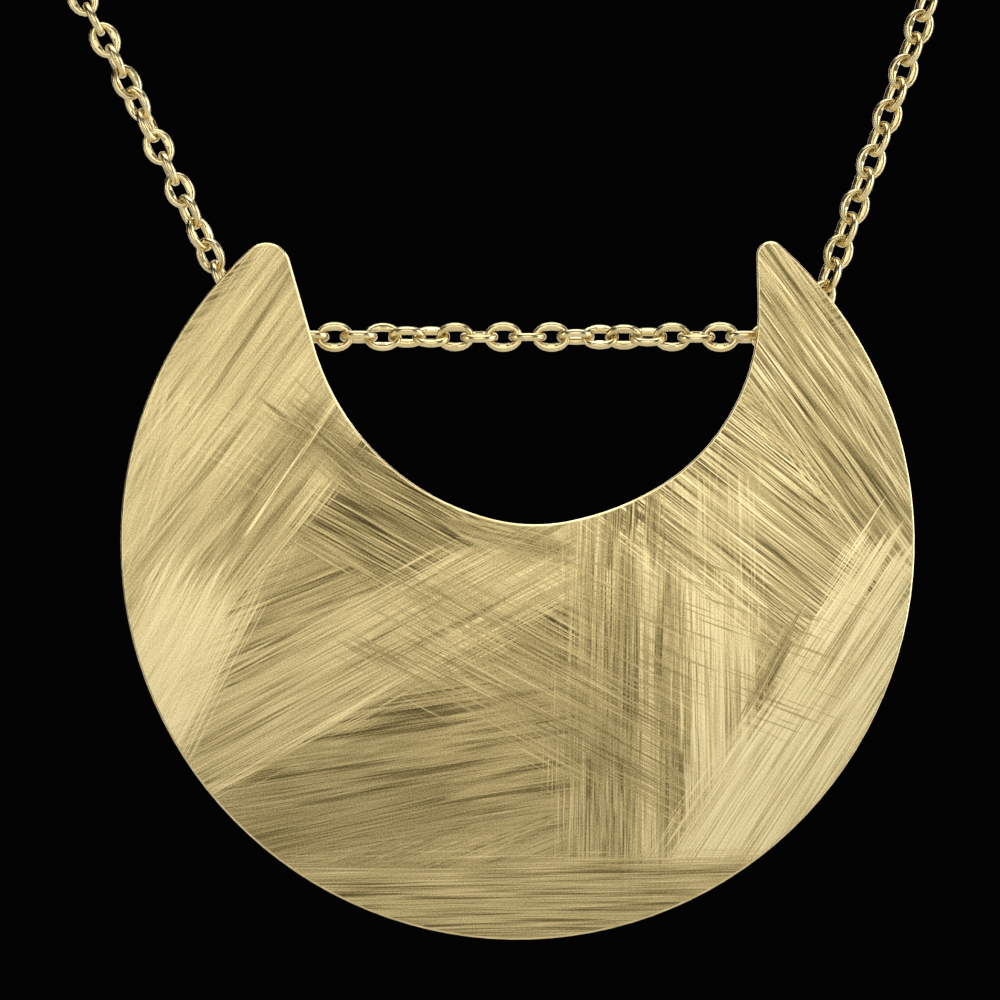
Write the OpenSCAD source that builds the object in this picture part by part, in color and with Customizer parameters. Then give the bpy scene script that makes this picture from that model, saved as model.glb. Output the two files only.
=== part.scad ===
/* [Crescent plate] */
// Diameter of the plate's outer edge
plate_d = 40; // [38:0.5:42]
// Thickness of the sheet
plate_t = 0.9; // [0.7:0.1:1.1]
// Radius of the left horn's tip
left_tip_r = 1.2; // [1:0.1:1.4]
// Radius of the right horn's tip
right_tip_r = 0.7; // [0.6:0.1:0.9]
// Height of the chain's straight run above the plate's centre
run_height = 10.4; // [9.6:0.2:11]

/* [Rings behind the horns] */
// Hole of each ring, which the chain runs through
ring_hole = 2; // [2:0.1:2.2]
// Wire of each ring
ring_wire = 0.6; // [0.4:0.1:0.6]
// How deep each ring is soldered into the plate's back
ring_sink = 0.25; // [0.15:0.05:0.35]
// Place of the left ring, from the plate's centre
left_ring_x = -12.5; // [-12.6:0.05:-12.3]
// Place of the right ring, from the plate's centre
right_ring_x = 13.5; // [13.4:0.05:13.6]

/* [Chain] */
// Distance from one link to the next
link_pitch = 1.22; // [1.2:0.01:1.24]
// Width of a link
link_w = 1.5; // [1.45:0.01:1.5]
// Wire of a link
link_wire = 0.3; // [0.26:0.01:0.3]
// Play between two links' wires
link_gap = 0.17; // [0.15:0.01:0.18]
// Links of the straight run between the horns
run_links = 21; // [21:1:21]
// Links of each side in the front chain, the rest being the nape chain
side_links = 110; // [60:1:110]

/* [Clasp] */
// Outer diameter of the clasp's ring
clasp_d = 5.5; // [5.2:0.1:5.6]
// Thickness of the clasp's ring
clasp_wire = 1.1; // [1:0.1:1.2]
// Outer diameter of the clasp's lug, which the chain's left end is linked to
lug_d = 2.1; // [2:0.1:2.2]
// Wire of the lug
lug_wire = 0.5; // [0.4:0.05:0.5]
// Outer diameter of the jump ring on the chain's right end
end_ring_d = 3.6; // [3.4:0.1:3.8]
// Wire of that jump ring
end_ring_wire = 0.6; // [0.5:0.05:0.7]

/* [Hidden] */

// The origin is the middle of the nape, where the clasp lies; -Y is the front
run_y = -100;
run_z = -104;
run_start_x = -12.3;

// Inner edge of the plate from its centre: a straight start at the left horn, as x, z, heading and length
bite_start = [-11.4, 13.9];
bite_heading = -74;
bite_straight = 4.2;
// Then arcs that turn left, as radius and degrees turned, and a straight end up to the right tip
bite_arcs = [
    [12.5, 60],
    [8.8, 24.5],
    [14, 19.5],
    [10.4, 61.5],
];
arc_step = 3;

// Turn of the chain behind each horn, from the straight run to the side that rises
left_turn = 68;
right_turn = 72;
turn_links = 3;

// Way of each side from behind the horn, round the neck to the clasp: x, y, z
left_way = [
    [-20.6, -99.4, -89.5],
    [-26.2, -97, -79.5],
    [-33.4, -92, -65.5],
    [-42.5, -81, -46],
    [-49.5, -65, -29.5],
    [-52.4, -47, -17.5],
    [-50.4, -28, -9],
    [-42.5, -13, -3.5],
    [-29, -4, -1],
    [-14, -0.5, 0],
    [-3, 0, 0],
];
right_way = [
    [19.75, -99.4, -90],
    [23.7, -97, -79],
    [30.8, -92, -64.5],
    [41, -81, -45],
    [48.5, -65, -29],
    [50.4, -47, -17.5],
    [49, -28, -9],
    [42.5, -13, -3.5],
    [29, -4, -1],
    [14, -0.5, 0],
    [3, 0, 0],
];
way_steps = 16;

// Slow twist of the chain: link counted from the run's left end, degrees
twist = [
    [-110, 120],
    [-40, 60],
    [-15, 90],
    [-13, 65],
    [-10, 0],
    [-8, -15],
    [-4, -75],
    [2, 0],
    [5, -36],
    [7, -70],
    [9, -90],
    [11, -90],
    [13, -130],
    [18, -180],
    [24, -247],
    [50, -247],
    [130, -170],
];
// Links that lean by turns one way and the other above the right horn, first and last, and by how much
sway_links = [24, 60];
sway = 10;

// Tube that stands for the nape chain
tube_d = 1.5;
tube_sides = 8;
tube_steps = 5;
// Of the ways, the rows that the tube follows
tube_rows = [7, 8, 9];
// Clear of the last link at one end, and of the clasp or the end ring at the other
tube_start = 0.6;
tube_gap = 0.2;

ring_mean = (ring_hole + ring_wire) / 2;
plate_y = run_y - ring_mean - ring_wire / 2 + ring_sink - plate_t / 2;
plate_z = run_z - run_height;

link_mean = (link_w - link_wire) / 2;
link_half = (link_pitch + link_wire + link_gap) / 2 - link_mean;

clasp_mean = (clasp_d - clasp_wire) / 2;
lug_mean = (lug_d - lug_wire) / 2;
lug_sink = 0.15;
lug_x = -(clasp_d + lug_d) / 2 + lug_sink;
end_ring_mean = (end_ring_d - end_ring_wire) / 2;
end_ring_play = 0.12;
end_ring_x = clasp_mean - (clasp_wire + end_ring_wire) / 2 - end_ring_play + end_ring_mean;

function unit(v) = v / norm(v);
function polar(angle) = [cos(angle), sin(angle)];
function direction(v) = atan2(v[1], v[0]);

// Points of an arc, from one angle to another
function arc_points(centre, r, from, to) =
    let(n = ceil(abs(to - from) / arc_step))
    [for (i = [0 : n]) centre + r * polar(from + (to - from) * i / n)];

// Point and heading at which an arc of the inner edge starts, and the arc's centre
function bite_at(i) =
    i == 0
    ? [bite_start + bite_straight * polar(bite_heading), bite_heading]
    : let(
        turned = bite_at(i - 1)[1] + bite_arcs[i - 1][1],
        end = bite_centre(i - 1) + bite_arcs[i - 1][0] * polar(turned - 90)
    )
    [end, turned];
function bite_centre(i) = bite_at(i)[0] + bite_arcs[i][0] * polar(bite_at(i)[1] + 90);

// Centre of a tip between the outer edge and the line through p, which runs up to it where way is 1
function tip(p, heading, r, way) =
    let(
        beside = p + r * polar(heading - 90),
        along = polar(heading),
        reach = plate_d / 2 - r,
        back = beside * along
    )
    beside + (way * sqrt(back * back - beside * beside + reach * reach) - back) * along;

// Outline of the crescent: left tip, inner edge, right tip, outer edge
function crescent_outline() =
    let(
        last = len(bite_arcs) - 1,
        end = bite_at(last + 1),
        lt = tip(bite_start, bite_heading, left_tip_r, -1),
        rt = tip(end[0], end[1], right_tip_r, 1)
    )
    concat(
        arc_points(lt, left_tip_r, direction(lt), bite_heading + 90),
        [for (i = [0 : last], p = arc_points(
            bite_centre(i), bite_arcs[i][0], bite_at(i)[1] - 90, bite_at(i + 1)[1] - 90)) p],
        arc_points(rt, right_tip_r, end[1] + 90, direction(rt)),
        arc_points([0, 0], plate_d / 2, direction(rt), direction(lt) - 360)
    );

// Point between b and c of a smooth curve through a, b, c and d
function smooth(a, b, c, d, t) =
    (2 * b + (c - a) * t + (2 * a - 5 * b + 4 * c - d) * t * t
        + (3 * b - a - 3 * c + d) * t * t * t) / 2;

// A smooth line through points, with n steps from each point to the next
function smooth_line(p, n) =
    let(last = len(p) - 1)
    concat(
        [for (i = [0 : last - 1], j = [0 : n - 1]) smooth(
            i == 0 ? 2 * p[0] - p[1] : p[i - 1],
            p[i],
            p[i + 1],
            i == last - 1 ? 2 * p[last] - p[last - 1] : p[i + 2],
            j / n)],
        [p[last]]
    );

// Where the segment from a to b is one pitch away from p
function pitch_from(p, a, b) =
    let(
        ab = b - a,
        pa = a - p,
        half = pa * ab,
        t = (-half + sqrt(half * half - ab * ab * (pa * pa - link_pitch * link_pitch))) / (ab * ab)
    )
    a + t * ab;

// First point of the line, from i on, that lies a pitch or more from p
function beyond(line, p, i) = norm(line[i] - p) >= link_pitch ? i : beyond(line, p, i + 1);

// Joints of n links, a pitch apart along the line, after the joint p
function walk(line, p, n, i = 1) =
    n == 0
    ? []
    : let(
        j = beyond(line, p, i),
        q = pitch_from(p, line[j - 1], line[j])
    )
    concat([q], walk(line, q, n - 1, j));

// Joints round a ring, from the run's end: the chain turns up in equal steps
function turn_joint(start, side, turn, i) =
    i == 0
    ? start
    : turn_joint(start, side, turn, i - 1)
        + link_pitch * [side * cos(turn * i / turn_links), 0, sin(turn * i / turn_links)];

// Joints of one side of the front chain, from the run's end
function side_joints(start, side, turn, way) =
    let(
        turned = [for (i = [0 : turn_links]) turn_joint(start, side, turn, i)],
        line = smooth_line(concat([turned[turn_links - 1], turned[turn_links]], way), way_steps)
    )
    concat(
        [for (i = [0 : turn_links - 1]) turned[i]],
        walk(line, turned[turn_links - 1], side_links - turn_links + 1)
    );

run_joints = [for (i = [0 : run_links]) [run_start_x + i * link_pitch, run_y, run_z]];
left_joints = side_joints(run_joints[0], -1, left_turn, left_way);
right_joints = side_joints(run_joints[run_links], 1, right_turn, right_way);
front_joints = concat(
    [for (i = [side_links : -1 : 1]) left_joints[i]],
    run_joints,
    [for (i = [1 : side_links]) right_joints[i]]
);

// One oval link, long way up, round the middle of its hole
module link() {
    for (end = [-1, 1]) {
        translate([0, 0, end * link_half])
            rotate([90, 0, 0])
                rotate_extrude(angle = 180 * end, $fn = 32)
                    translate([link_mean, 0])
                        circle(d = link_wire, $fn = 16);
        translate([end * link_mean, 0, -link_half])
            cylinder(h = 2 * link_half, d = link_wire, $fn = 16);
    }
}

// How far a link leans, by its number in the chain
function lean(number) =
    number < sway_links[0] || number > sway_links[1] ? 0 : number % 2 == 0 ? sway : -sway;

// A link between two joints, turned to the front by its number in the chain
module link_between(a, b, number) {
    up = unit(b - a);
    facing = unit([0, -1, 0] + up[1] * up);
    across = cross(facing, up);
    centre = (a + b) / 2;
    multmatrix([
        [across[0], facing[0], up[0], centre[0]],
        [across[1], facing[1], up[1], centre[1]],
        [across[2], facing[2], up[2], centre[2]],
    ])
        rotate([0, 0, 90 * number + lookup(number, twist) + lean(number)])
            link();
}

// Links from one joint of a list to the next, numbered from first on
module links(joints, first) {
    for (i = [0 : len(joints) - 2])
        link_between(joints[i], joints[i + 1], first + i);
}

// A closed ring of round wire, across the given axis
module ring(mean, wire, turned) {
    rotate(turned)
        rotate_extrude($fn = 48)
            translate([mean, 0])
                circle(d = wire, $fn = 24);
}

// Tube along a smooth line, with both ends closed
module tube(line, d) {
    last = len(line) - 1;
    rings = [for (i = [0 : last])
        let(
            along = unit(line[min(i + 1, last)] - line[max(i - 1, 0)]),
            side = unit(cross(along, [0, 0, 1])),
            other = cross(side, along)
        )
        for (s = [0 : tube_sides - 1])
            let(round = d / 2 * polar(360 * s / tube_sides))
            line[i] + round[0] * side + round[1] * other];
    walls = [for (i = [0 : last - 1], s = [0 : tube_sides - 1])
        let(
            a = i * tube_sides,
            next = (s + 1) % tube_sides
        )
        [a + s, a + tube_sides + s, a + tube_sides + next, a + next]];
    start_cap = [for (s = [0 : tube_sides - 1]) s];
    end_cap = [for (s = [tube_sides - 1 : -1 : 0]) last * tube_sides + s];
    polyhedron(rings, concat([start_cap], walls, [end_cap]));
}

// Line of the tube on one side: from the front chain's last joint to its end at the clasp
function tube_line(joints, way, end_x) =
    let(
        last = len(joints) - 1,
        out = unit(joints[last] - joints[last - 1])
    )
    smooth_line(
        concat([joints[last] + tube_start * out], [for (row = tube_rows) way[row]], [[end_x, 0, 0]]),
        tube_steps
    );

module crescent_plate() {
    color([0.83, 0.74, 0.5]) {
        translate([0, plate_y, plate_z])
            rotate([90, 0, 0])
                linear_extrude(plate_t, center = true)
                    polygon(crescent_outline());
        for (x = [left_ring_x, right_ring_x])
            translate([x, run_y, run_z])
                ring(ring_mean, ring_wire, [0, 90, 0]);
    }
}

module front_chain() {
    color([0.9, 0.82, 0.58])
        links(front_joints, -side_links);
}

module nape_chain() {
    color([0.88, 0.8, 0.55]) {
        tube(tube_line(left_joints, left_way, lug_x - lug_d / 2 - tube_gap), tube_d);
        tube(tube_line(right_joints, right_way, end_ring_x + end_ring_d / 2 + tube_gap), tube_d);
    }
}

module clasp() {
    color([0.86, 0.78, 0.52]) {
        ring(clasp_mean, clasp_wire, [90, 0, 0]);
        translate([lug_x, 0, 0])
            ring(lug_mean, lug_wire, [0, 0, 0]);
    }
}

module end_ring() {
    color([0.86, 0.78, 0.52])
        translate([end_ring_x, 0, 0])
            ring(end_ring_mean, end_ring_wire, [0, 0, 0]);
}

crescent_plate();
front_chain();
nape_chain();
clasp();
end_ring();
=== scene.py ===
"""Dresses the crescent pendant: a hand-brushed plate, hung by two rings on a fine cable chain."""

import math

import bmesh
import bpy
from mathutils import Matrix, Vector


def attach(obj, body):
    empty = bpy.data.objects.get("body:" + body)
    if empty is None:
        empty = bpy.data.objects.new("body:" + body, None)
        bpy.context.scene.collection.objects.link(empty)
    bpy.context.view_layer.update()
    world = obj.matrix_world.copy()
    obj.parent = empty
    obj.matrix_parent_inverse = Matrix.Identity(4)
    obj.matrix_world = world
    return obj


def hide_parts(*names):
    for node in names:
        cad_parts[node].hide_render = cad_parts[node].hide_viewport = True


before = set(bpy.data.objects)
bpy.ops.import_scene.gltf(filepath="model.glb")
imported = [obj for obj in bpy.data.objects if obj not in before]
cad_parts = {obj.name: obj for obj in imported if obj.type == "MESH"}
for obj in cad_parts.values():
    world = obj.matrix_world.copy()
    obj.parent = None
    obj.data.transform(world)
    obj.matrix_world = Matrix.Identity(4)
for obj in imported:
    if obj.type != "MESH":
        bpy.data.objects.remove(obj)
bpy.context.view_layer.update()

MM = 0.001

# Sizes of part.scad in metres, and angles in degrees
PLATE_D = 40 * MM
PLATE_T = 0.9 * MM
PLATE_MIDDLE = Vector((0, -101.8, -114.4)) * MM
LEFT_TIP_R = 1.2 * MM
RIGHT_TIP_R = 0.7 * MM
BITE_START = Vector((-11.4, 13.9)) * MM
BITE_HEADING = -74
BITE_STRAIGHT = 4.2 * MM
# Arcs of the inner edge: radius in millimetres, degrees
BITE_ARCS = [(12.5, 60), (8.8, 24.5), (14, 19.5), (10.4, 61.5)]
# From one point of an arc to the next
ARC_STEP = 3
EDGE_ROUND = 0.1 * MM
EDGE_STEPS = 3
# A face with at least this share of its normal along an axis lies square to it
SQUARE = 0.99
PLATE_SMOOTH = 28

RING_X = (-12.5 * MM, 13.5 * MM)
RING_MEAN = 1.3 * MM
RING_WIRE = 0.6 * MM
# Solder between ring and plate: half sizes in millimetres, and how deep it starts in the plate
SOLDER_SIZE = (0.45, 0.3, 0.8)
SOLDER_DEPTH = 0.05 * MM
SOLDER_FLARE = (1.3, 1, 1.15)
SOLDER_SMOOTH = 50
# How much of its wire is worn off a ring's inner side, and how far in that side begins
WORN_SHARE = 0.05
WORN_FROM = 0.42

LINK_PITCH = 1.22 * MM
LINK_W = 1.5 * MM
LINK_WIRE = 0.33 * MM
LINK_PLAY = 0.02 * MM
RUN_LINKS = 21
RUN_START = Vector((-12.3, -100, -104)) * MM
LEFT_TURN = 68
RIGHT_TURN = 72
TURN_LINKS = 3
LEFT_LINKS = 161
RIGHT_LINKS = 160
# Where each side of the chain goes on from there, in millimetres
LEFT_WAY = [
    (-20.6, -99.4, -89.5), (-26.2, -97, -79.5), (-33.4, -92, -65.5), (-42.5, -81, -46),
    (-49.5, -65, -29.5), (-52.4, -47, -17.5), (-50.4, -28, -9), (-42.5, -13, -3.5),
    (-29, -4, -1), (-14, -0.5, 0), (-3, 0, 0),
]
RIGHT_WAY = [
    (19.75, -99.4, -90), (23.7, -97, -79), (30.8, -92, -64.5), (41, -81, -45),
    (48.5, -65, -29), (50.4, -47, -17.5), (49, -28, -9), (42.5, -13, -3.5),
    (29, -4, -1), (14, -0.5, 0), (3, 0, 0),
]
WAY_STEPS = 16
# Twist of the chain: link, degrees
TWIST = [
    (-110, 120), (-40, 60), (-15, 90), (-13, 65), (-10, 0), (-8, -15), (-4, -75), (2, 0),
    (5, -36), (7, -70), (9, -90), (11, -90), (13, -130), (18, -180), (24, -247), (50, -247),
    (130, -170),
]
# Links that lean by turns to one side and the other
SWAY_LINKS = range(24, 61)
SWAY = 10
# The link's ends are moved apart in steps: degrees from the side on, share of the whole way
LINK_STEPS = [(60, 0.2), (40, 0.2), (20, 0.3), (4, 0.3)]
# Its sides thicken inwards: up to a height, times the distance from the middle
LINK_SIDES = [(0.54 * MM, 0.95), (0.42 * MM, 0.92), (0.32 * MM, 0.93), (0.2 * MM, 0.96)]
# The inner side of the wire begins at this share of it from its middle
LINK_INNER = 0.2
# How much thicker it is from front to back, and what share of that the filed flats leave
LINK_THICK = 1.2
LINK_FILED = 0.96
LINK_SMOOTH = 40
# Links that the photo shows are made finer. Steps round a link and round its wire:
FINE_LINKS = range(-20, 42)
FINE_STEPS = (40, 14)
PLAIN_STEPS = (12, 5)

CLASP_MEAN = 2.2 * MM
CLASP_WIRE = 1.1 * MM
LUG_X = -3.65 * MM
LUG_MEAN = 0.8 * MM
LUG_WIRE = 0.5 * MM
END_RING_X = 2.73 * MM
END_RING_MEAN = 1.5 * MM
END_RING_WIRE = 0.6 * MM
SEAM = 0.06 * MM
SEAM_DEPTH = 0.86

# Nearer than this, two points of a mesh are one
MERGE = 0.0005 * MM
OUTLINE_MERGE = 0.002 * MM


def deselect():
    bpy.ops.object.select_all(action="DESELECT")


def select(*objects):
    """Only these objects are selected, and the first one is active."""
    deselect()
    for obj in objects:
        obj.select_set(True)
    bpy.context.view_layer.objects.active = objects[0]


def begin_edit(obj):
    select(obj)
    bpy.ops.object.mode_set(mode="EDIT")


def end_edit():
    bpy.ops.object.mode_set(mode="OBJECT")


def pick(obj, test, what="verts"):
    """In edit mode, selects only the vertices, edges or faces that pass the test."""
    bpy.ops.mesh.select_all(action="DESELECT")
    mesh = bmesh.from_edit_mesh(obj.data)
    mesh.select_mode = {"VERT", "EDGE", "FACE"} if what == "verts" else {what[:-1].upper()}
    for part in getattr(mesh, what):
        part.select_set(test(part))
    mesh.select_flush_mode()
    bmesh.update_edit_mesh(obj.data)


def tidy_mesh():
    """In edit mode, closes seams and points all faces outwards."""
    bpy.ops.mesh.select_all(action="SELECT")
    bpy.ops.mesh.remove_doubles(threshold=MERGE)
    bpy.ops.mesh.normals_make_consistent(inside=False)


def polar(angle):
    return Vector((math.cos(math.radians(angle)), math.sin(math.radians(angle))))


def direction(v):
    return math.degrees(math.atan2(v.y, v.x))


# Crescent plate

def bite_rows():
    """Centre, radius, start angle and end angle of each arc of the inner edge."""
    point = BITE_START + BITE_STRAIGHT * polar(BITE_HEADING)
    heading = BITE_HEADING
    rows = []
    for radius, turn in BITE_ARCS:
        centre = point + radius * MM * polar(heading + 90)
        rows.append([centre, radius * MM, heading - 90, heading + turn - 90])
        heading += turn
        point = centre + radius * MM * polar(heading - 90)
    return rows


def tip(point, heading, radius, way):
    """Centre of a tip between the outer edge and a line, which runs up to it where way is 1."""
    beside = point + radius * polar(heading - 90)
    along = polar(heading)
    reach = PLATE_D / 2 - radius
    back = beside.dot(along)
    return beside + (way * math.sqrt(back ** 2 - beside.dot(beside) + reach ** 2) - back) * along


def cut(place, across):
    """In edit mode, cuts the whole mesh at a plane."""
    bpy.ops.mesh.select_all(action="SELECT")
    bpy.ops.mesh.bisect(plane_co=place, plane_no=across, threshold=MERGE)


def spin_arc(centre, start, end):
    """In edit mode, draws an arc on from the selected vertex."""
    place = PLATE_MIDDLE + Vector((centre.x, -PLATE_T / 2, centre.y))
    bpy.ops.mesh.spin(
        steps=max(1, math.ceil(abs(end - start) / ARC_STEP)), angle=math.radians(end - start),
        center=place, axis=(0, 1, 0),
    )


def draw_line(offset):
    """In edit mode, draws a straight line on from the selected vertex."""
    bpy.ops.mesh.extrude_region_move(TRANSFORM_OT_translate={"value": (offset.x, 0, offset.y)})


def crescent():
    rows = bite_rows()
    centre, radius, _, end = rows[-1]
    bite_end = centre + radius * polar(end)
    lt = tip(BITE_START, BITE_HEADING, LEFT_TIP_R, -1)
    rt = tip(bite_end, end + 90, RIGHT_TIP_R, 1)
    start = PLATE_MIDDLE + Vector((0, -PLATE_T / 2, 0))
    first = lt + LEFT_TIP_R * polar(direction(lt))
    deselect()
    bpy.ops.mesh.primitive_plane_add(size=MM, location=start + Vector((first.x, 0, first.y)))
    plate = bpy.context.object
    plate.name = "crescent"
    bpy.ops.object.transform_apply(location=True, rotation=True, scale=True)
    begin_edit(plate)
    bpy.ops.mesh.select_all(action="SELECT")
    bpy.ops.mesh.merge(type="CENTER")
    spin_arc(lt, direction(lt), BITE_HEADING + 90)
    left_flank = lt + LEFT_TIP_R * polar(BITE_HEADING + 90)
    draw_line(BITE_START + BITE_STRAIGHT * polar(BITE_HEADING) - left_flank)
    for centre, radius, begin, end in rows:
        spin_arc(centre, begin, end)
    draw_line(rt + RIGHT_TIP_R * polar(end + 180) - bite_end)
    spin_arc(rt, end + 180, direction(rt))
    spin_arc(Vector((0, 0)), direction(rt), direction(lt) - 360)
    bpy.ops.mesh.select_all(action="SELECT")
    bpy.ops.mesh.remove_doubles(threshold=OUTLINE_MERGE)
    bpy.ops.mesh.edge_face_add()
    bpy.ops.mesh.extrude_region_move(TRANSFORM_OT_translate={"value": (0, PLATE_T, 0)})
    tidy_mesh()
    pick(plate, lambda e: abs(e.verts[0].co.y - e.verts[1].co.y) < PLATE_T / 2, "edges")
    bpy.ops.mesh.bevel(offset=EDGE_ROUND, segments=EDGE_STEPS, affect="EDGES")
    tidy_mesh()
    end_edit()
    bpy.ops.object.shade_smooth_by_angle(angle=math.radians(PLATE_SMOOTH))
    return plate


# Rings

def wire_ring(name, centre, mean, wire, turned, around=64):
    """A closed ring of round wire, its inner side worn a little flat."""
    deselect()
    bpy.ops.mesh.primitive_torus_add(
        major_radius=mean, minor_radius=wire / 2, major_segments=around, minor_segments=24,
        location=centre, rotation=turned)
    ring = bpy.context.object
    ring.name = name
    bpy.ops.object.transform_apply(location=True, rotation=True, scale=True)
    begin_edit(ring)
    pick(ring, lambda v: (v.co - centre).length < mean - WORN_FROM * wire)
    worn = 1 + WORN_SHARE * wire / (mean - wire / 2)
    bpy.ops.transform.resize(value=(worn, worn, worn), center_override=centre)
    tidy_mesh()
    end_edit()
    bpy.ops.object.shade_smooth()
    return ring


def close_seam(ring, seam):
    """A fine groove round the wire, where the jump ring was bent shut."""
    begin_edit(ring)
    for offset in (-SEAM / 2, 0, SEAM / 2):
        cut(seam + Vector((offset, 0, 0)), (1, 0, 0))
    pick(ring, lambda v: abs(v.co.x - seam.x) < SEAM / 4 and (v.co - seam).length < END_RING_WIRE)
    bpy.ops.transform.resize(value=(1, SEAM_DEPTH, SEAM_DEPTH), center_override=seam)
    tidy_mesh()
    end_edit()


def horn_ring(name, x):
    """A ring with the solder that holds it on the plate's back."""
    centre = Vector((x, RUN_START.y, RUN_START.z))
    ring = wire_ring(name, centre, RING_MEAN, RING_WIRE, (0, math.radians(90), 0))
    foot = Vector((x, PLATE_MIDDLE.y + PLATE_T / 2 - SOLDER_DEPTH, centre.z))
    deselect()
    bpy.ops.mesh.primitive_uv_sphere_add(
        segments=32, ring_count=16, radius=MM, location=foot, scale=SOLDER_SIZE)
    solder = bpy.context.object
    bpy.ops.object.transform_apply(location=True, rotation=True, scale=True)
    begin_edit(solder)
    pick(solder, lambda v: v.co.y < foot.y - MERGE)
    bpy.ops.mesh.delete(type="VERT")
    pick(solder, lambda v: v.co.y < foot.y + MERGE)
    bpy.ops.mesh.edge_face_add()
    pick(solder, lambda v: v.co.y < foot.y + SOLDER_DEPTH)
    bpy.ops.transform.resize(value=SOLDER_FLARE, center_override=foot)
    tidy_mesh()
    end_edit()
    bpy.ops.object.shade_smooth_by_angle(angle=math.radians(SOLDER_SMOOTH))
    select(ring, solder)
    bpy.ops.object.join()
    return ring


# Chain

def smooth_point(a, b, c, d, t):
    return (2 * b + (c - a) * t + (2 * a - 5 * b + 4 * c - d) * t ** 2
            + (3 * b - a - 3 * c + d) * t ** 3) / 2


def smooth_line(points):
    """A smooth line through points, with WAY_STEPS steps from each point to the next."""
    ends = [2 * points[0] - points[1], *points, 2 * points[-1] - points[-2]]
    line = []
    for i in range(len(points) - 1):
        for j in range(WAY_STEPS):
            line.append(smooth_point(*ends[i:i + 4], j / WAY_STEPS))
    return [*line, points[-1]]


def walk(line, start, count):
    """Joints a pitch apart along the line, after the first one."""
    joints = [start]
    i = 1
    while len(joints) <= count:
        while (line[i] - joints[-1]).length < LINK_PITCH:
            i += 1
        ab = line[i] - line[i - 1]
        pa = line[i - 1] - joints[-1]
        half = pa.dot(ab)
        root = math.sqrt(half ** 2 - ab.dot(ab) * (pa.dot(pa) - LINK_PITCH ** 2))
        joints.append(line[i - 1] + ab * (root - half) / ab.dot(ab))
    return joints


def side_joints(start, side, turn, way, count):
    """Joints of one side: round the ring in equal steps, then up and round the neck."""
    turned = [start]
    for i in range(1, TURN_LINKS + 1):
        step = polar(turn * i / TURN_LINKS) * LINK_PITCH
        turned.append(turned[-1] + Vector((side * step.x, 0, step.y)))
    line = smooth_line(turned[-2:] + [Vector(p) * MM for p in way])
    return turned[:-2] + walk(line, turned[-2], count - TURN_LINKS + 1)


def twist_at(number):
    """Slow twist of the chain at a link, in degrees."""
    if number <= TWIST[0][0]:
        return TWIST[0][1]
    for (n0, a0), (n1, a1) in zip(TWIST, TWIST[1:]):
        if number <= n1:
            return a0 + (a1 - a0) * (number - n0) / (n1 - n0)
    return TWIST[-1][1]


def link_place(a, b, number):
    """Where the link between two joints lies, and how it is turned."""
    up = (b - a).normalized()
    facing = (Vector((0, -1, 0)) + up.y * up).normalized()
    across = facing.cross(up)
    place = Matrix((across, facing, up)).transposed().to_4x4()
    place.translation = (a + b) / 2
    lean = (SWAY if number % 2 == 0 else -SWAY) if number in SWAY_LINKS else 0
    roll = math.radians(90 * number + twist_at(number) + lean)
    return place @ Matrix.Rotation(roll, 4, "Z")


def link(name, around, about):
    """One oval link, long way up: rounded ends, sides that thicken inwards, filed flats."""
    mean = (LINK_W - LINK_WIRE) / 2
    half = (LINK_PITCH + LINK_WIRE + LINK_PLAY) / 2 - mean
    deselect()
    bpy.ops.mesh.primitive_torus_add(
        major_radius=mean, minor_radius=LINK_WIRE / 2, major_segments=around,
        minor_segments=about, rotation=(math.radians(90), 0, 0))
    made = bpy.context.object
    made.name = name
    bpy.ops.object.transform_apply(location=True, rotation=True, scale=True)
    begin_edit(made)
    for angle, share in LINK_STEPS:
        for end in (-1, 1):
            pick(made, lambda v: math.atan2(end * v.co.z, abs(v.co.x)) > math.radians(angle))
            bpy.ops.transform.translate(value=(0, 0, end * share * half))
    for height, share in LINK_SIDES:
        pick(made, lambda v: abs(v.co.x) < mean - LINK_INNER * LINK_WIRE and abs(v.co.z) < height)
        bpy.ops.transform.resize(value=(share, 1, 1))
    bpy.ops.mesh.select_all(action="SELECT")
    bpy.ops.transform.resize(value=(1, LINK_THICK, 1))
    pick(made, lambda v: abs(v.co.y) > LINK_FILED * LINK_THICK * LINK_WIRE / 2)
    bpy.ops.transform.resize(value=(1, LINK_FILED, 1))
    tidy_mesh()
    end_edit()
    bpy.ops.object.shade_smooth_by_angle(angle=math.radians(LINK_SMOOTH))
    return made


def chain(name, master, joints, numbers):
    """Copies of the link between the joints, joined into one piece."""
    copies = []
    for a, b, number in zip(joints, joints[1:], numbers):
        if (number in FINE_LINKS) != (name == "front_links"):
            continue
        copy = master.copy()
        copy.data = master.data.copy()
        bpy.context.collection.objects.link(copy)
        copy.matrix_world = link_place(a, b, number)
        copies.append(copy)
    select(*copies)
    bpy.ops.object.transform_apply(location=True, rotation=True, scale=True)
    bpy.ops.object.join()
    made = bpy.context.object
    made.name = name
    bpy.data.objects.remove(master)
    return made


# Clasp

def clasp():
    ring = wire_ring("ring_clasp", Vector((0, 0, 0)), CLASP_MEAN, CLASP_WIRE,
                     (math.radians(90), 0, 0))
    lug = wire_ring("lug", Vector((LUG_X, 0, 0)), LUG_MEAN, LUG_WIRE, (0, 0, 0), 48)
    select(ring, lug)
    bpy.ops.object.join()
    return ring


# Materials

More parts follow.
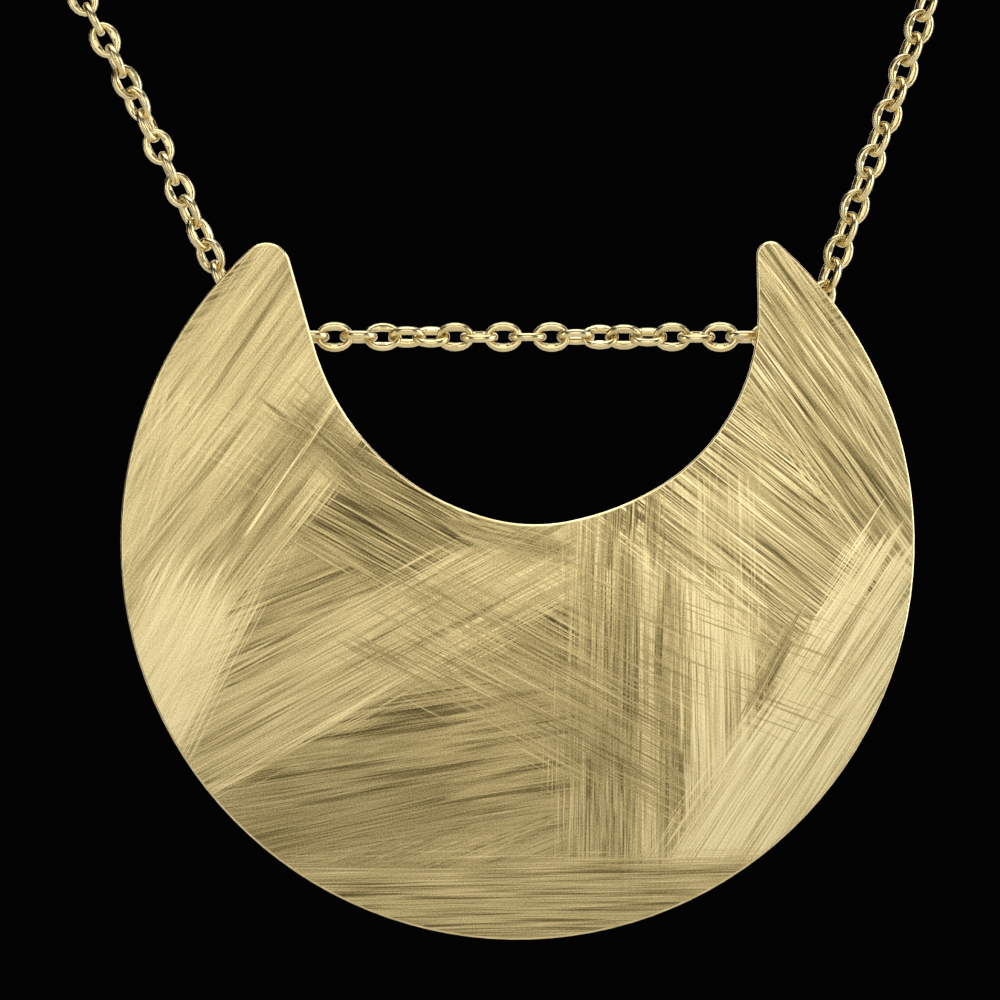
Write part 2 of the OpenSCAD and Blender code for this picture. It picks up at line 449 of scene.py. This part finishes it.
class Nodes:
    """Adds nodes to a material or a group, each fed by values or by other nodes' outputs."""

    def __init__(self, tree):
        self.tree = tree

    def add(self, kind, feeds=None, **settings):
        node = self.tree.nodes.new(kind)
        for name, value in settings.items():
            setattr(node, name, value)
        for name, value in (feeds or {}).items():
            socket = node.inputs[name]
            if isinstance(value, bpy.types.NodeSocket):
                self.tree.links.new(value, socket)
            else:
                socket.default_value = value
        return node

    def math(self, operation, a, b=0.0, clamp=False):
        node = self.add("ShaderNodeMath", {0: a, 1: b}, operation=operation, use_clamp=clamp)
        return node.outputs[0]

    def fit(self, a, factor, plus, clamp=False):
        """a times factor, plus."""
        node = self.add("ShaderNodeMath", {0: a, 1: factor, 2: plus},
                        operation="MULTIPLY_ADD", use_clamp=clamp)
        return node.outputs[0]

    def mix(self, share, a, b):
        node = self.add("ShaderNodeMix", {0: share, 2: a, 3: b}, data_type="FLOAT")
        return node.outputs[0]

    def noise(self, place, detail, roughness=0.5, scale=None, dimensions="3D"):
        if scale:
            place = self.add("ShaderNodeMapping", {"Vector": place, "Scale": scale}).outputs[0]
        node = self.add("ShaderNodeTexNoise", {
            "Vector": place, "Scale": 1.0, "Detail": detail, "Roughness": roughness,
        }, noise_dimensions=dimensions)
        return node.outputs["Fac"]

    def plane(self, x, y, z=0.0):
        return self.add("ShaderNodeCombineXYZ", {"X": x, "Y": y, "Z": z}).outputs[0]

    def ramp(self, value, stops):
        node = self.add("ShaderNodeValToRGB", {"Fac": value})
        while len(node.color_ramp.elements) < len(stops):
            node.color_ramp.elements.new(0.5)
        for element, (position, colour) in zip(node.color_ramp.elements, stops):
            element.position = position
            element.color = (*colour, 1)
        return node.outputs["Color"]

    def spread(self, value, ends, start=0.0, end=1.0):
        """A value between start and end, laid out from one of the ends to the other."""
        node = self.add("ShaderNodeMapRange", {
            "Value": value, "From Min": start, "From Max": end,
            "To Min": ends[0], "To Max": ends[1]})
        return node.outputs[0]

    def metal(self, shader, colour, roughness, height, strength, depth):
        """Bare metal, with the height as bumps of a depth in millimetres."""
        bump = self.add("ShaderNodeBump", {
            "Height": height, "Strength": strength, "Distance": depth * MM})
        shader.inputs["Metallic"].default_value = 1
        self.tree.links.new(colour, shader.inputs["Base Color"])
        self.tree.links.new(roughness, shader.inputs["Roughness"])
        self.tree.links.new(bump.outputs[0], shader.inputs["Normal"])


def new_material(name):
    material = bpy.data.materials.new(name)
    material.use_nodes = True
    material.node_tree.nodes.clear()
    nodes = Nodes(material.node_tree)
    shader = nodes.add("ShaderNodeBsdfPrincipled")
    output = nodes.add("ShaderNodeOutputMaterial")
    nodes.tree.links.new(shader.outputs[0], output.inputs["Surface"])
    return material, nodes, shader


STROKE_VALUES = (
    "Half length", "Half width", "Shade", "Fine contrast", "Band contrast", "Dark", "Fineness",
    "Cover", "Ragged", "Feather", "Sparse",
)
# Noise of the fine scratches and the wider bands: its steps in a millimetre along a stroke and
# across it (Fineness, for the scratches), how far it is shifted, its detail and roughness
SCRATCH_ALONG = 0.18
SCRATCH_DETAIL = (1.5, 0.75)
BAND_ALONG = 0.08
BAND_ACROSS = 1.9
BAND_SHIFT = (3, 8)
BAND_DETAIL = (1.0, 0.65)
# A stroke's soft ends, as shares of its half length and of Ragged, which counts up to a limit
SOFT_LENGTH = 0.4
SOFT_RAGGED = 0.1
MOST_RAGGED = 8
# How far scratches reach over its ends and sides, and how sharp the lines of a sparse one are
LINE_REACH = 4
LINE_CONTRAST = 12
# Painted shade of deep scratches grows with the noise of the fine ones and of the bands, from
# a level on
DEEP_SHADE_FINE = 6.3
DEEP_SHADE_BAND = 7.7
DEEP_SHADE_FROM = -0.7


def stroke_group():
    """One swath of brushing: scratches along a turned rectangle with their painted sheen and shade,
    laid over what is below.

    A point holds its place on the plate in X and Y and its shade so far in Z. Each stroke hands it
    on to the next one, because Cycles can't hold the values of all strokes at once.
    """
    tree = bpy.data.node_groups.new("brush stroke with painted sheen", "ShaderNodeTree")
    tree.interface.new_socket("Point", in_out="INPUT", socket_type="NodeSocketVector")
    for name in ("Middle X", "Middle Y", "Turned", *STROKE_VALUES):
        tree.interface.new_socket(name, in_out="INPUT", socket_type="NodeSocketFloat")
    tree.interface.new_socket("Point", in_out="OUTPUT", socket_type="NodeSocketVector")
    n = Nodes(tree)
    given = n.add("NodeGroupInput").outputs
    point = n.add("ShaderNodeSeparateXYZ", {0: given["Point"]}).outputs
    # The point as seen along the stroke and beside it. Mapping nodes would take longer.
    cosine = n.math("COSINE", given["Turned"])
    sine = n.math("SINE", given["Turned"])
    from_x = n.math("SUBTRACT", point[0], given["Middle X"])
    from_y = n.math("SUBTRACT", point[1], given["Middle Y"])
    along = n.fit(from_x, cosine, n.math("MULTIPLY", from_y, sine))
    beside = n.fit(from_y, cosine, n.math("MULTIPLY", from_x, n.math("MULTIPLY", sine, -1)))
    # Fine scratches and wider bands, less and more than 0 in equal parts
    fine_place = n.plane(
        n.fit(along, SCRATCH_ALONG, n.math("MULTIPLY", given["Middle X"], SCRATCH_ALONG)),
        n.fit(beside, given["Fineness"], n.math("MULTIPLY", given["Middle Y"], given["Fineness"])))
    band_place = n.plane(
        n.fit(along, BAND_ALONG, n.fit(given["Middle X"], BAND_ALONG, BAND_SHIFT[0])),
        n.fit(beside, BAND_ACROSS, n.fit(given["Middle Y"], BAND_ACROSS, BAND_SHIFT[1])))
    fine = n.noise(fine_place, *SCRATCH_DETAIL, dimensions="2D")
    over = n.math("SUBTRACT", fine, 0.5)
    band = n.noise(band_place, *BAND_DETAIL, dimensions="2D")
    band_over = n.math("SUBTRACT", band, 0.5)
    # How far the point is inside the stroke's ragged ends and its sides
    soft = n.math("MINIMUM", n.math("MULTIPLY", given["Half length"], SOFT_LENGTH),
                  n.math("MULTIPLY", given["Ragged"], SOFT_RAGGED))
    length_left = n.math("SUBTRACT", given["Half length"], n.math("ABSOLUTE", along))
    ragged = n.math("MINIMUM", given["Ragged"], MOST_RAGGED)
    length_left = n.fit(band_over, ragged, length_left)
    near_end = n.fit(length_left, n.math("DIVIDE", 1, soft), 0.5)
    reach = n.math("MINIMUM", LINE_REACH, n.math("DIVIDE", LINE_REACH, soft))
    in_length = n.fit(over, reach, near_end, clamp=True)
    width_left = n.math("SUBTRACT", given["Half width"], n.math("ABSOLUTE", beside))
    near_edge = n.fit(width_left, n.math("DIVIDE", 1, given["Feather"]), 0.5)
    in_width = n.fit(over, LINE_REACH, near_edge, clamp=True)
    sparse = n.math("MULTIPLY", given["Sparse"], -LINE_CONTRAST)
    lines = n.fit(fine, LINE_CONTRAST, sparse, clamp=True)
    inside = n.math("MULTIPLY", n.math("MULTIPLY", in_length, in_width), lines)
    # Its painted sheen and shade there, with painted shade in deep scratches where fine and wide
    # ones meet
    light = n.fit(over, given["Fine contrast"],
                  n.fit(band_over, given["Band contrast"], given["Shade"]))
    deep_shade = n.fit(over, DEEP_SHADE_FINE, n.fit(band_over, DEEP_SHADE_BAND, DEEP_SHADE_FROM), clamp=True)
    shade = n.fit(deep_shade, n.math("MULTIPLY", given["Dark"], -1), light)
    shade = n.mix(n.math("MULTIPLY", inside, given["Cover"]), point[2], shade)
    n.add("NodeGroupOutput", {"Point": n.plane(point[0], point[1], shade)})
    return tree


GROUND_SHADE = 0.5
# Strokes of the brush from the first to the last, in millimetres from the plate's middle: middle
# x and z, degrees up to the right, then the STROKE_VALUES. Sparse strokes are single thin lines.
# Each stroke's Shade paints the sheen and shade that its scratches show under the lamps.
STROKES = [
    (0, -0.9, 22, 24.2, 24.2, 0.5, 1, 0.4, 0.1, 9, 1, 6, 1, 0),  # ground
    (-12.5, -3.4, 22, 8.6, 4.8, 0.5, 1.2, 0.9, 0.35, 9, 0.9, 8, 1, 0),  # left, under
    (-5.9, -11, 9, 13.6, 4.5, 0.47, 1, 0.9, 0.3, 10, 0.92, 8, 1.2, 0),  # lower left
    (-9.4, -14.2, 13, 7.6, 1.3, 0.38, 1, 0.7, 0.2, 10, 0.7, 8, 0.9, 0),  # lower left, dark
    (-0.2, -2.3, -29, 17.6, 3.4, 0.38, 1.9, 0.7, 0.3, 9, 0.93, 8, 1, 0),  # middle, brown
    (-6.2, -4.8, 28, 12.8, 2.4, 0.61, 1, 0.5, 0.1, 11, 0.92, 8, 1, 0),  # light band
    (0, 0.1, -14, 2.9, 0.86, 0.42, 1.6, 0.6, 0.3, 9, 0.75, 6, 0.8, 0),  # brown at the bite
    (-9.4, -9, 31, 6.8, 0.1, 0.85, 0.4, 0.2, 0, 10, 0.7, 6, 0.12, 0),  # its lower edge
    (6.9, -7.9, 89, 10.8, 4.5, 0.53, 1.5, 0.5, 0.3, 10, 0.85, 8, 1.2, 0),  # upright
    (6.6, -7.9, 90, 10.1, 0.35, 0.74, 0.8, 0.3, 0, 9, 0.8, 8, 0.4, 0),  # bright line in it
    (9.8, 2.5, 84, 1.3, 0.81, 0.4, 2, 1, 0.4, 7, 0.75, 5, 0.8, 0),  # dark patch at its top
    (4.5, -11.8, 90, 2.2, 1.4, 0.49, 1.8, 1, 0.45, 9, 0.85, 5, 0.7, 0),  # its dark foot
    (2.1, -7.9, -28, 9.3, 2.5, 0.4, 1.6, 0.5, 0.25, 10, 0.85, 10, 1.6, 0.42),  # middle, thin lines
    (5.7, -4.9, -27, 7.1, 2.3, 0.37, 1.4, 0.4, 0.2, 8, 0.75, 12, 1.6, 0.53),  # same, in the upright
    (10.3, -6.2, 91, 10.8, 1.7, 0.83, 1.2, 0.6, 0.15, 10, 0.85, 8, 0.9, 0),  # upright, bright side
    (14.1, 1.9, -38, 9.6, 6.6, 0.59, 2.3, 0.15, 0.22, 13, 0.92, 8, 1.2, 0),  # right
    (15.5, 7.2, -54, 9.8, 3.1, 0.59, 2.2, 0.5, 0.45, 11, 0.95, 8, 0.8, 0),  # right horn
    (15, -9.9, 57, 10, 3.4, 0.84, 1.3, 0.6, 0.15, 11, 0.92, 8, 0.8, 0),  # lower right
    (5.8, 1.3, 88, 1.5, 1.5, 0.42, 2, 1, 0.45, 9, 0.8, 5, 0.8, 0),  # upright, dark top
    (10.5, -0.9, 91, 3.8, 1.4, 0.8, 0.6, 0.3, 0, 10, 0.5, 10, 0.8, 0.5),  # upright, light lines
    (12.9, -6.3, 62, 2.1, 0.55, 0.54, 1.6, 1, 0.45, 10, 0.8, 4, 0.5, 0),  # dark corner
    (0.1, -18.1, 1, 14.1, 2.2, 0.53, 1.2, 0.6, 0.15, 11, 0.92, 8, 0.6, 0),  # foot
    (-15.7, 3.2, 52, 17.4, 5.2, 0.63, 0.8, 0.5, 0.12, 12, 0.95, 8, 0.7, 0),  # left, light
    # Painted light: this stroke brightens the lower left of the plate.
    (-18.2, -7.5, 63, 5.9, 2.6, 0.9, 0.6, 0.2, 0, 12, 0.7, 40, 0.6, 0),  # left, light foot
    (-18.7, 3.4, 70, 4.2, 0.91, 0.76, 0.6, 0.2, 0, 12, 0.5, 8, 0.9, 0),  # left, light edge
    (-9.6, 5.1, -41, 2.5, 1.2, 0.38, 1.6, 0.6, 0.3, 9, 0.8, 6, 0.9, 0),  # left, brown
    # Painted shade: this stroke darkens the left horn.
    (-13.2, 10.7, 55, 5.3, 1.5, 0.53, 1, 1.2, 0.15, 12, 0.6, 10, 1.4, 0),  # left horn, less light
    (-12.6, 3.1, 54, 3.5, 1.3, 0.39, 1.2, 0.7, 0.25, 10, 0.65, 18, 1, 0),  # left, dark patch
    (18.6, 5.4, -62, 3.1, 0.81, 0.74, 1.6, 0.3, 0.1, 11, 0.6, 8, 0.9, 0),  # right horn, light edge
    (13.6, 10.7, -58, 2.3, 0.3, 0.42, 1.4, 1, 0.3, 8, 0.7, 4, 0.5, 0),  # right horn, dark streak
    (15, 5.2, -50, 3.1, 0.3, 0.44, 1.4, 1, 0.3, 8, 0.65, 4, 0.5, 0),  # one more below
    (-11.5, 4.7, -27, 3, 2, 0.76, 0.4, 0.2, 0, 9, 0.35, 8, 0.8, 0.6),  # left, thin lines
    (9.2, -4.2, -20, 6.3, 3, 0.36, 0.4, 0.2, 0, 6, 0.75, 8, 0.9, 0.6),  # upright, dark lines
    (-11.2, 4.1, 56, 4, 0.05, 0.9, 0.3, 0.2, 0, 9, 0.75, 6, 0.12, 0),  # left, bright line
]
# Fine grain over the strokes, per millimetre, and how much of the shade it makes
GRAIN = (13, 13, 0)
GRAIN_SHARE = 0.35
# Colours from the darkest painted shade to the lightest painted sheen
PAINTED_SHEEN_GOLDS = [
    (0.0, (0.05, 0.038, 0.013)), (0.3, (0.22, 0.172, 0.068)), (0.55, (0.53, 0.425, 0.195)),
    (0.8, (0.84, 0.705, 0.37)), (1.0, (1.0, 0.885, 0.53)),
]
BRUSHED_ROUGH = (0.48, 0.34)


def brushed_gold_painted_sheen():
    """Pale gold brushed by hand in overlapping strokes, with painted sheen and shade."""
    material, n, shader = new_material("brushed gold with painted sheen")
    place = n.add("ShaderNodeTexCoord").outputs["Object"]
    apart = n.add("ShaderNodeSeparateXYZ", {0: place}).outputs
    x = n.math("MULTIPLY", n.math("SUBTRACT", apart[0], PLATE_MIDDLE.x), 1 / MM)
    z = n.math("MULTIPLY", n.math("SUBTRACT", apart[2], PLATE_MIDDLE.z), 1 / MM)
    flat = n.plane(x, z, GROUND_SHADE)
    group = stroke_group()
    point = flat
    for cx, cz, turned, *values in STROKES:
        stroke = n.add("ShaderNodeGroup", {
            "Point": point, "Middle X": cx, "Middle Y": cz, "Turned": math.radians(turned),
            **dict(zip(STROKE_VALUES, values)),
        }, node_tree=group)
        point = stroke.outputs["Point"]
    shade = n.add("ShaderNodeSeparateXYZ", {0: point}).outputs[2]
    grain = n.noise(flat, detail=1.0, scale=GRAIN, dimensions="2D")
    grain_over = n.math("SUBTRACT", grain, 0.5)
    shade = n.math("ADD", shade, n.math("MULTIPLY", grain_over, GRAIN_SHARE))
    n.metal(shader, n.ramp(shade, PAINTED_SHEEN_GOLDS), n.spread(shade, BRUSHED_ROUGH), grain,
            strength=0.5, depth=0.004)
    return material


# The noise of the other materials counts from one of these values to the other
NOISE_LOW = 0.3
NOISE_HIGH = 0.7
SHEET_GOLDS = [
    (NOISE_LOW, (0.56, 0.43, 0.17)), (0.5, (0.77, 0.62, 0.30)), (NOISE_HIGH, (0.91, 0.78, 0.44)),
]
PAPERS = [(NOISE_LOW, (0.80, 0.79, 0.77)), (NOISE_HIGH, (0.85, 0.84, 0.82))]


def polished_gold(name, dark, light, rough, streaks):
    """Polished gold with faint clouds, and faint streaks along the wire from the mesh's own UV."""
    material, n, shader = new_material(name)
    coordinates = n.add("ShaderNodeTexCoord").outputs
    clouds = n.noise(coordinates["Object"], detail=3.0, scale=(500, 500, 500))
    scratches = n.noise(coordinates["UV"], detail=2.0, roughness=0.6, scale=streaks)
    colour = n.ramp(clouds, [(NOISE_LOW, dark), (NOISE_HIGH, light)])
    roughness = n.spread(scratches, (rough, rough + 0.1), NOISE_LOW, NOISE_HIGH)
    n.metal(shader, colour, roughness, scratches, strength=0.4, depth=0.003)
    return material


def sheet_gold(name, rough):
    """The plate's back and rim: the same sheet, brushed evenly one way."""
    material, n, shader = new_material(name)
    place = n.add("ShaderNodeTexCoord").outputs["Object"]
    streaks = n.noise(place, detail=3.0, roughness=0.6, scale=(250, 250, 6000))
    clouds = n.noise(place, detail=2.0, scale=(120, 120, 120))
    shade = n.mix(0.6, clouds, streaks)
    roughness = n.spread(shade, (rough + 0.12, rough), NOISE_LOW, NOISE_HIGH)
    n.metal(shader, n.ramp(shade, SHEET_GOLDS), roughness, streaks, strength=0.5, depth=0.006)
    return material


def floor_paper():
    """Pale paper for the floor."""
    material, n, shader = new_material("floor paper")
    place = n.add("ShaderNodeTexCoord").outputs["Object"]
    fibres = n.noise(place, detail=4.0, scale=(60, 60, 60))
    n.tree.links.new(n.ramp(fibres, PAPERS), shader.inputs["Base Color"])
    shader.inputs["Roughness"].default_value = 0.9
    return material


# Studio

AIM = Vector((0, -0.1, -0.11))
WARM = (1, 0.98, 0.95)
WHITE = (1, 1, 1)
# Name, place and size in metres, power in watts, colour
SOFT_BOXES = [
    ("front_box", (-0.05, -1.5, 0.2), (1.4, 1.0), 6.8, WARM),
    ("right_box", (1.0, -0.25, 0.1), (0.8, 1.0), 8, WARM),
    ("top_box", (0, -0.1, 0.9), (1.0, 0.8), 5, WHITE),
    ("left_strip", (-1.0, -0.5, -0.1), (0.2, 0.9), 2, WARM),
    ("back_box", (0.1, 1.4, 0.15), (1.4, 1.0), 7, WARM),
    ("high_box", (0, 0, 2.6), (3.5, 3.5), 27, WHITE),
]
FLOOR_SIZE = 9
FLOOR_Z = -0.4
NIGHT = (0.001, 0.001, 0.001, 1)


def soft_box(name, place, size, power, colour):
    data = bpy.data.lights.new(name, "AREA")
    data.shape = "RECTANGLE"
    data.size, data.size_y = size
    data.energy = power
    data.color = colour
    lamp = bpy.data.objects.new(name, data)
    bpy.context.collection.objects.link(lamp)
    lamp.visible_camera = False
    lamp.location = place
    lamp.rotation_euler = (AIM - Vector(place)).to_track_quat("-Z", "Y").to_euler()


def studio():
    """Soft boxes over a wide pale floor, which ends below what the photo's camera sees."""
    for box in SOFT_BOXES:
        soft_box(*box)
    deselect()
    bpy.ops.mesh.primitive_grid_add(
        x_subdivisions=12, y_subdivisions=12, size=FLOOR_SIZE, location=(0, 0, FLOOR_Z))
    floor = bpy.context.object
    floor.name = "floor"
    floor.data.materials.append(floor_paper())
    world = bpy.data.worlds.new("studio")
    bpy.context.scene.world = world
    world.use_nodes = True
    world.node_tree.nodes["Background"].inputs["Color"].default_value = NIGHT
    bpy.context.scene.view_settings.view_transform = "Standard"


SENSOR = 36
PHOTO_W = 50.37 * MM
CAMERA_X = -0.88 * MM
CAMERA_Z = -112.25 * MM
CAMERA_AWAY = 0.5


def camera():
    """Straight in front of the pendant, from half a metre, with the photo's frame."""
    data = bpy.data.cameras.new("camera")
    data.sensor_width = SENSOR
    data.lens = SENSOR * CAMERA_AWAY / PHOTO_W
    made = bpy.data.objects.new("camera", data)
    bpy.context.collection.objects.link(made)
    made.location = (CAMERA_X, PLATE_MIDDLE.y - PLATE_T / 2 - CAMERA_AWAY, CAMERA_Z)
    made.rotation_euler = (math.radians(90), 0, 0)
    data.clip_start = 0.05
    data.clip_end = 20
    bpy.context.scene.camera = made


def finish_piece(piece, body, slot, materials, *nodes):
    for material in materials:
        piece.data.materials.append(material)
    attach(piece, body)
    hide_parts(*nodes)


camera()
studio()

front_gold = brushed_gold_painted_sheen()
plain_gold = sheet_gold("back gold", 0.32)
rim_gold = sheet_gold("rim gold", 0.16)
# The chain's gold is darker than the clasp's: painted shade that dims the chain.
chain_gold = polished_gold("chain gold", (0.77, 0.62, 0.30), (0.87, 0.74, 0.41), 0.2, (6, 24, 0))
clasp_gold = polished_gold("clasp gold", (0.82, 0.68, 0.38), (0.91, 0.79, 0.49), 0.14, (16, 30, 0))

plate = crescent()
plate_golds = [front_gold, plain_gold, rim_gold]
finish_piece(plate, "pendant", "brushed_plate", plate_golds, "crescent_plate")
# The front is brushed by hand. Only the rounded edges are smoother than the back and the rim.
for face in plate.data.polygons:
    if face.normal.y < -SQUARE:
        face.material_index = plate_golds.index(front_gold)
    elif face.normal.y > SQUARE or abs(face.normal.y) < 1 - SQUARE:
        face.material_index = plate_golds.index(plain_gold)
    else:
        face.material_index = plate_golds.index(rim_gold)

for ring_name, ring_x in zip(("left_horn_ring", "right_horn_ring"), RING_X):
    ring = horn_ring(ring_name, ring_x)
    finish_piece(ring, "pendant", "chain_gold", [chain_gold], "crescent_plate")

run = [RUN_START + Vector((i * LINK_PITCH, 0, 0)) for i in range(RUN_LINKS + 1)]
left = side_joints(run[0], -1, LEFT_TURN, LEFT_WAY, LEFT_LINKS)
right = side_joints(run[-1], 1, RIGHT_TURN, RIGHT_WAY, RIGHT_LINKS)
joints = left[:0:-1] + run + right[1:]
numbers = range(-LEFT_LINKS, RUN_LINKS + RIGHT_LINKS)
for chain_name, steps in (("front_links", FINE_STEPS), ("back_links", PLAIN_STEPS)):
    piece = chain(chain_name, link("master", *steps), joints, numbers)
    finish_piece(piece, "chain", "chain_gold", [chain_gold], "front_chain", "nape_chain")

finish_piece(clasp(), "chain", "clasp_gold", [clasp_gold], "clasp")
end_ring = Vector((END_RING_X, 0, 0))
jump_ring = wire_ring("jump_ring", end_ring, END_RING_MEAN, END_RING_WIRE, (0, 0, 0))
close_seam(jump_ring, end_ring + Vector((0, END_RING_MEAN, 0)))
finish_piece(jump_ring, "chain", "clasp_gold", [clasp_gold], "end_ring")
